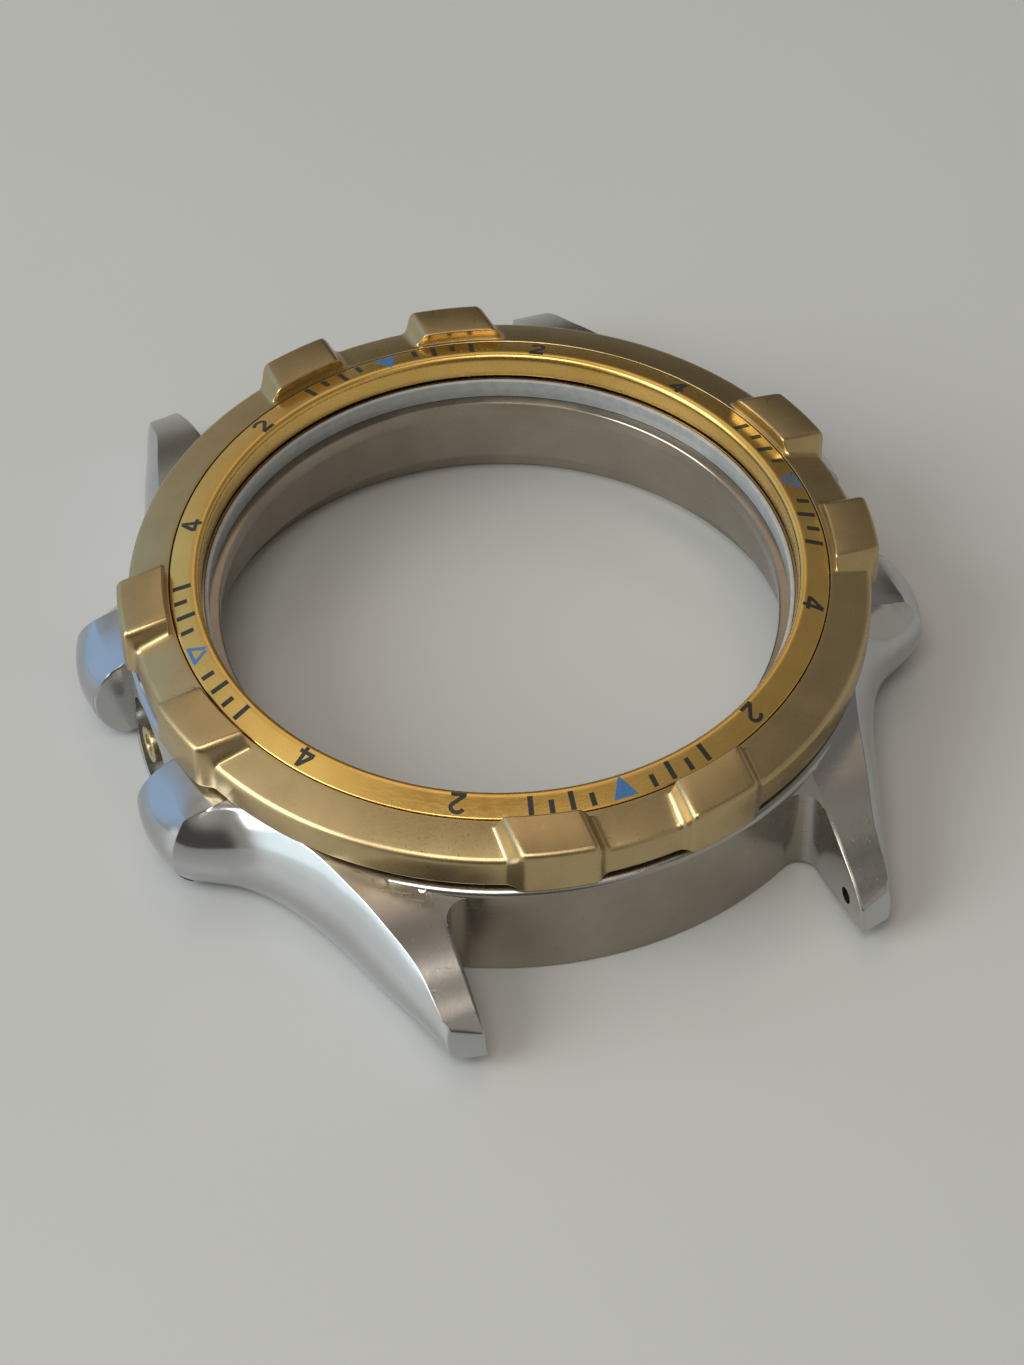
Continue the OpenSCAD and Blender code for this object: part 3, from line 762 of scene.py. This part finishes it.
def polar(tree, place):
    """Coordinates along the turn, out from the axis and up, in metres, and the radius by itself."""
    parts = add_node(tree, "ShaderNodeSeparateXYZ", Vector=place)
    x, y, z = (parts.outputs[k] for k in "XYZ")
    turn = maths(tree, "MULTIPLY", maths(tree, "ARCTAN2", y, x), TURN_R * MM)
    squares = [maths(tree, "MULTIPLY", v, v) for v in (x, y)]
    r = maths(tree, "SQRT", maths(tree, "ADD", *squares))
    return add_node(tree, "ShaderNodeCombineXYZ", X=turn, Y=r, Z=z).outputs[0], r


def scratches(tree, place, size_mm, angle, amount):
    """Fine straight scratches: noise drawn out along one direction, and only its peaks kept."""
    length_factor, soft_edge = 28, 0.03
    turned = add_node(tree, "ShaderNodeVectorRotate", {"rotation_type": "Z_AXIS"}, Vector=place,
                      Angle=math.radians(angle)).outputs[0]
    lines = noise(tree, turned, size_mm, (1, length_factor, 1), 1, 0.3)
    return remap(tree, lines, 1 - amount, 1 + soft_edge - amount, 0.0, 1.0)


def metal(name, dark, light, roughness, grain_mm, drawn=(1, 1, 1), turned=False, bump=0.2, scratch=0.24):
    """A plated or bare metal: tone clouds, a fine grain in its roughness and bump, and scratches."""
    most_fleck, scratch_shine, scratch_depth = 0.25, 0.1, 0.3
    material, tree, shader, place = new_material(name)
    along = polar(tree, place)[0] if turned else place
    clouds = noise(tree, place, 2.2, detail=4)
    grain = noise(tree, along, grain_mm, drawn, 4, 0.6)
    lines = maths(tree, "MAXIMUM", scratches(tree, place, 0.1, 25, scratch),
                  scratches(tree, place, 0.13, -52, scratch))
    tone = mix_colour(tree, stretch(tree, clouds), dark, light)
    fleck = remap(tree, grain, 0.35, 0.75, 0.0, most_fleck)
    tree.links.new(mix_colour(tree, fleck, tone, dark), shader.inputs["Base Color"])
    even = stretch(tree, grain, *roughness)
    worn = maths(tree, "SUBTRACT", even, maths(tree, "MULTIPLY", lines, scratch_shine))
    tree.links.new(worn, shader.inputs["Roughness"])
    shader.inputs["Metallic"].default_value = 1.0
    height = maths(tree, "SUBTRACT", grain, maths(tree, "MULTIPLY", lines, scratch_depth))
    relief(tree, shader, height, bump, 0.004)
    return material


def brushed_share(tree, place):
    """Two shares: brushed, which is 0 on the flanks, and shaded_recess, a painted shade which is 1 in the
    bores and on the upright faces between the lugs.
    """
    # Each share fades over a short range
    normal = add_node(tree, "ShaderNodeTexCoord").outputs["Normal"]
    parts = add_node(tree, "ShaderNodeSeparateXYZ", Vector=normal)
    side = maths(tree, "ABSOLUTE", parts.outputs["X"])
    across = maths(tree, "ABSOLUTE", add_node(tree, "ShaderNodeSeparateXYZ", Vector=place).outputs["X"])
    r = polar(tree, place)[1]
    tops = remap(tree, side, 0.1, 0.24, 1.0, 0.0)
    walls = remap(tree, across, (HALF_GAP + 0.02) * MM, (HALF_GAP + 0.12) * MM, 1.0, 0.0)
    bores = remap(tree, r, (NECK_R + 0.1) * MM, (NECK_R + 0.2) * MM, 1.0, 0.0)
    upright = remap(tree, maths(tree, "ABSOLUTE", parts.outputs["Z"]), 0.25, 0.5, 1.0, 0.0)
    between = remap(tree, across, (HALF_GAP - 0.6) * MM, (HALF_GAP - 0.3) * MM, 1.0, 0.0)
    # Painted shade: this share darkens the bores and the upright walls between the lugs, where shade falls
    shaded_recess = maths(tree, "MAXIMUM", bores, maths(tree, "MULTIPLY", upright, between))
    return maths(tree, "MAXIMUM", maths(tree, "MAXIMUM", tops, walls), bores), shaded_recess


def case_steel():
    """The steel of the case: a clean polish on the flanks, fine lines of the brush elsewhere, and painted
    shade, a darker base colour in the bores and between the lugs.
    """
    brush_depth, polish_depth, mark_depth, mark_haze = 0.4, 0.03, 0.15, 0.08
    material, tree, shader, place = new_material("case_steel")
    brushed, shaded_recess = brushed_share(tree, place)
    clouds = stretch(tree, noise(tree, place, 3.5, detail=4))
    polish = mix_colour(tree, clouds, (0.5, 0.505, 0.51, 1), (0.55, 0.55, 0.55, 1))
    satin = mix_colour(tree, clouds, (0.45, 0.44, 0.425, 1), (0.52, 0.51, 0.49, 1))
    # Painted shade: a darker brown-grey base colour that stands in for the shade in the bores and between the
    # lugs
    painted_shade_tone = mix_colour(tree, clouds, (0.31, 0.27, 0.22, 1), (0.38, 0.34, 0.28, 1))
    tone = mix_colour(tree, brushed, polish, mix_colour(tree, shaded_recess, satin, painted_shade_tone))
    tree.links.new(tone, shader.inputs["Base Color"])
    shader.inputs["Metallic"].default_value = 1.0
    lines = noise(tree, place, 0.045, (1, 22, 3), 3, 0.6)
    haze = noise(tree, place, 0.9, detail=5, rough=0.65)
    marks = maths(tree, "MAXIMUM", scratches(tree, place, 0.12, 20, 0.27),
                  scratches(tree, place, 0.14, -58, 0.27))
    soft = stretch(tree, lines, 0.17, 0.24)
    clear = stretch(tree, haze, 0.1, 0.17)
    roughness = add_node(tree, "ShaderNodeMix", _0=brushed, _2=clear, _3=soft).outputs[0]
    worn = maths(tree, "ADD", roughness, maths(tree, "MULTIPLY", marks, mark_haze))
    tree.links.new(worn, shader.inputs["Roughness"])
    line_depth = maths(tree, "ADD", maths(tree, "MULTIPLY", brushed, brush_depth), polish_depth)
    height = maths(tree, "SUBTRACT", maths(tree, "MULTIPLY", lines, line_depth),
                   maths(tree, "MULTIPLY", marks, mark_depth))
    relief(tree, shader, height, 0.35, 0.003)
    return material


def plain_surface(name, dark, light, roughness, grain_mm, bump=0.3):
    """Rubber, nylon, adhesive or ink: a mottled colour with a fine relief."""
    spread = 0.06
    material, tree, shader, place = new_material(name)
    grain = noise(tree, place, grain_mm, detail=4)
    tree.links.new(mix_colour(tree, stretch(tree, grain), dark, light), shader.inputs["Base Color"])
    tree.links.new(stretch(tree, grain, roughness - spread, roughness + spread), shader.inputs["Roughness"])
    relief(tree, shader, grain, bump, 0.004)
    return material


CASE_STEEL = case_steel()
BEZEL_GOLD = metal("bezel_gold", (0.48, 0.365, 0.185, 1), (0.57, 0.435, 0.23, 1), (0.26, 0.36), 0.09)
RING_GOLD = metal("ring_gold", (0.82, 0.53, 0.15, 1), (0.9, 0.6, 0.19, 1), (0.22, 0.3), 0.1, (6, 1, 1),
                  turned=True, bump=0.1)
TUBE_GOLD = metal("tube_gold", (0.5, 0.4, 0.2, 1), (0.6, 0.5, 0.26, 1), (0.22, 0.32), 0.08)
WIRE_STEEL = metal("wire_steel", (0.42, 0.42, 0.44, 1), (0.55, 0.55, 0.57, 1), (0.2, 0.35), 0.05)
BALL_STEEL = metal("ball_steel", (0.6, 0.6, 0.62, 1), (0.72, 0.72, 0.74, 1), (0.08, 0.16), 0.05, bump=0.05)
RUBBER = plain_surface("gasket_rubber", (0.02, 0.02, 0.02, 1), (0.045, 0.045, 0.045, 1), 0.6, 0.05)
NYLON = plain_surface("gasket_nylon", (0.33, 0.35, 0.36, 1), (0.4, 0.42, 0.43, 1), 0.18, 0.5, 0.05)
ADHESIVE = plain_surface("adhesive_film", (0.6, 0.56, 0.45, 1), (0.7, 0.66, 0.55, 1), 0.5, 0.2)
BLACK_INK = plain_surface("black_ink", (0.012, 0.013, 0.01, 1), (0.03, 0.03, 0.025, 1), 0.4, 0.06)
BLUE_INK = plain_surface("blue_ink", (0.03, 0.12, 0.3, 1), (0.06, 0.18, 0.4, 1), 0.35, 0.08)


# Pieces

finish_piece(mid_case_mesh(), "case", CASE_STEEL, ["mid_case"])
finish_piece(bezel_mesh(), "turning_bezel", BEZEL_GOLD, ["bezel"], GOLD_SHARP_ANGLE)
finish_piece(lathe("printed_ring", SCALE_OUTLINE), "turning_bezel", RING_GOLD, ["scale_ring"],
             GOLD_SHARP_ANGLE)

seal_in_x = GASKET_HIGH.x - SEAL_WALL
seal_outline = [Vector(p) for p in ((seal_in_x, GASKET_LOW.z), (GASKET_HIGH.x, GASKET_LOW.z),
                                    (GASKET_HIGH.x, GASKET_HIGH.z), (seal_in_x, GASKET_HIGH.z))]
finish_piece(lathe("crystal_seal", soften(seal_outline, [SEAL_EDGE] * 4)), "case", NYLON,
             ["crystal_gasket"])

tube_outline = [Vector(p) for p in ((TUBE_BORE_R, TUBE_LOW.x), (TUBE_R, TUBE_LOW.x), (TUBE_R, TUBE_HIGH.x),
                                    (TUBE_BORE_R, TUBE_HIGH.x))]
crown_tube = lathe("tube", soften(tube_outline, TUBE_EDGES), 64)
crown_tube.data.transform(Matrix.Translation((0, 0, CROWN_Z * MM)) @ Matrix.Rotation(math.pi / 2, 4, "Y"))
finish_piece(crown_tube, "case", TUBE_GOLD, ["crown_tube"])

# Kind of mark at each angle clockwise from 12 o'clock
MARKS = {0: "solid", 29: "two", 58: "four", 90: "hollow", 122: "four", 151: "two",
         180: "solid", 209: "two", 238: "four", 270: "hollow", 302: "four", 331: "two"}
for angle, kind in MARKS.items():
    label = f"mark_{angle:03d}"
    if kind == "two":
        made = [(numeral(label, angle, TWO_STROKES), BLACK_INK)]
    elif kind == "four":
        made = [(numeral(label, angle, FOUR_STROKES), BLACK_INK)]
    else:
        made = [(triangle(label, angle, kind == "hollow"), BLUE_INK)]
        made += [(ticks(f"{label}_ticks_{side_name}", angle, side), BLACK_INK)
                 for side, side_name in ((-1, "left"), (1, "right"))]
    for piece, ink in made:
        finish_piece(piece, "turning_bezel", ink, [])

for node, material in (("scale_bond", ADHESIVE), ("retaining_wire", WIRE_STEEL), ("bezel_gasket", RUBBER),
                       ("crown_tube_gasket", RUBBER)):
    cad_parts[node].data.materials[0] = material
# A click spring is pressed together between its pocket and its ball
for i in range(1, 5):
    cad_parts[f"click_ball_{i}"].data.materials[0] = BALL_STEEL
    coil, (start, end) = click_spring(f"click_spring_{i}")
    finish_piece(coil, None, WIRE_STEEL, [f"click_spring_{i}"])
    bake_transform(coil)


# Floor, light and camera

def floor_material():
    """Pale grey paper."""
    material, tree, shader, place = new_material("pale_floor")
    clouds = noise(tree, place, 40, detail=2)
    fibres = noise(tree, place, 0.6, detail=4)
    tree.links.new(mix_colour(tree, clouds, (0.52, 0.53, 0.525, 1), (0.56, 0.57, 0.565, 1)),
                   shader.inputs["Base Color"])
    shader.inputs["Roughness"].default_value = 0.32
    relief(tree, shader, fibres, 0.15, 0.02)
    return material


FLOOR_HALF = 1500
floor = make_object("floor", [(-FLOOR_HALF, -FLOOR_HALF, 0), (FLOOR_HALF, -FLOOR_HALF, 0),
                              (FLOOR_HALF, FLOOR_HALF, 0), (-FLOOR_HALF, FLOOR_HALF, 0)], [(0, 1, 2, 3)])
floor.data.materials.append(floor_material())


def outward(azimuth, elevation):
    """The unit vector towards a direction in degrees."""
    turn, rise = math.radians(azimuth), math.radians(elevation)
    return Vector((math.cos(turn) * math.cos(rise), math.sin(turn) * math.cos(rise), math.sin(rise)))


# Soft lamps: azimuth, elevation, distance and (width, height) in metres, radiance, colour, and the axis
# that the width follows. With None the width is level
LAMPS = {"window_high": (0, 38, 0.6, (0.34, 0.36), 4.6, (0.95, 0.985, 1.0), None),
         "soft_above": (52, 63, 0.7, (0.26, 0.26), 5.0, (1.0, 0.96, 0.88), None),
         "lamp_row_far": (99, 75.5, 0.8, (0.36, 0.06), 1.7, (1.0, 0.9, 0.76), (1, 0, 0)),
         "lamp_row_near": (95, 61, 0.8, (0.36, 0.05), 1.7, (1.0, 0.9, 0.76), (1, 0, 0))}


def area_light(name, azimuth, elevation, distance, size, radiance, colour, along):
    """A soft rectangular light that faces the case. radiance is what its surface shows."""
    out = outward(azimuth, elevation)
    across = Vector(along) if along else Vector((0, 0, 1)).cross(out)
    across = (across - out * across.dot(out)).normalized()
    data = bpy.data.lights.new(name, "AREA")
    data.shape = "RECTANGLE"
    data.size, data.size_y = size
    data.energy = radiance * size[0] * size[1] * math.pi
    data.color = colour
    light = bpy.data.objects.new(name, data)
    rotation = Matrix((across, out.cross(across), out)).transposed()
    light.matrix_world = Matrix.Translation(out * distance) @ rotation.to_4x4()
    bpy.context.scene.collection.objects.link(light)


for lamp_name, settings in LAMPS.items():
    area_light(lamp_name, *settings)

ROOM_COLOUR = (0.39, 0.365, 0.325, 1)
# Soft patches of the room: azimuth, elevation, radii of the full and the faded part in degrees, colour
ROOM_PATCHES = {"sky": (308, 18, 8, 36, (0.45, 0.63, 0.88, 1)),
                "window_low": (358, 8, 8, 24, (1.4, 1.6, 1.66, 1)),
                "lamp_left": (308, 65, 4, 17, (0.85, 0.8, 0.68, 1)),
                "pink_ceiling": (241, 60, 9, 20, (1.1, 0.87, 0.68, 1)),
                "brown_top": (285, 85, 6, 18, (0.24, 0.19, 0.13, 1)),
                "dark_right": (200, 45, 16, 36, (0.2, 0.19, 0.18, 1)),
                "dark_above": (142, 55, 10, 20, (0.1, 0.1, 0.09, 1)),
                "dark_far": (238, 11, 16, 30, (0.1, 0.09, 0.075, 1)),
                "dark_near": (66, 5, 22, 42, (0.09, 0.085, 0.075, 1))}


def room():
    """A warm room with soft bright and dark patches."""
    world = bpy.data.worlds.new("room")
    world.use_nodes = True
    tree = world.node_tree
    place = add_node(tree, "ShaderNodeTexCoord").outputs["Generated"]
    colour = ROOM_COLOUR
    for azimuth, elevation, full, faded, patch_colour in ROOM_PATCHES.values():
        facing = add_node(tree, "ShaderNodeVectorMath", {"operation": "DOT_PRODUCT"}, _0=place,
                          _1=outward(azimuth, elevation)).outputs["Value"]
        share = add_node(tree, "ShaderNodeMapRange", {"interpolation_type": "SMOOTHSTEP"}, _0=facing,
                         _1=math.cos(math.radians(faded)), _2=math.cos(math.radians(full))).outputs[0]
        colour = mix_colour(tree, share, colour, patch_colour)
    background = tree.nodes["Background"]
    tree.links.new(colour, background.inputs["Color"])
    return world


bpy.context.scene.world = room()

CAMERA_AT = Vector((52.938, 135.042, 160.021)) * MM
CAMERA_RIGHT = Vector((-0.92799, 0.37258, -0.0036))
CAMERA_UP = Vector((-0.27842, -0.687, 0.6712))
SENSOR_MM = 36.0
IMAGE_H = 1365
FOCAL_PIXELS = 4090
# Nearest distance that the camera sees, in metres
CLIP_START = 0.01

camera_data = bpy.data.cameras.new("camera")
camera_data.sensor_fit = "VERTICAL"
camera_data.sensor_height = SENSOR_MM
camera_data.lens = FOCAL_PIXELS * SENSOR_MM / IMAGE_H
camera_data.clip_start = CLIP_START
camera = bpy.data.objects.new("camera", camera_data)
back = CAMERA_RIGHT.cross(CAMERA_UP)
axes = Matrix((CAMERA_RIGHT, CAMERA_UP, back)).transposed()
camera.matrix_world = Matrix.Translation(CAMERA_AT) @ axes.to_4x4()
bpy.context.scene.collection.objects.link(camera)
bpy.context.scene.camera = camera
bpy.context.scene.view_settings.view_transform = "Standard"
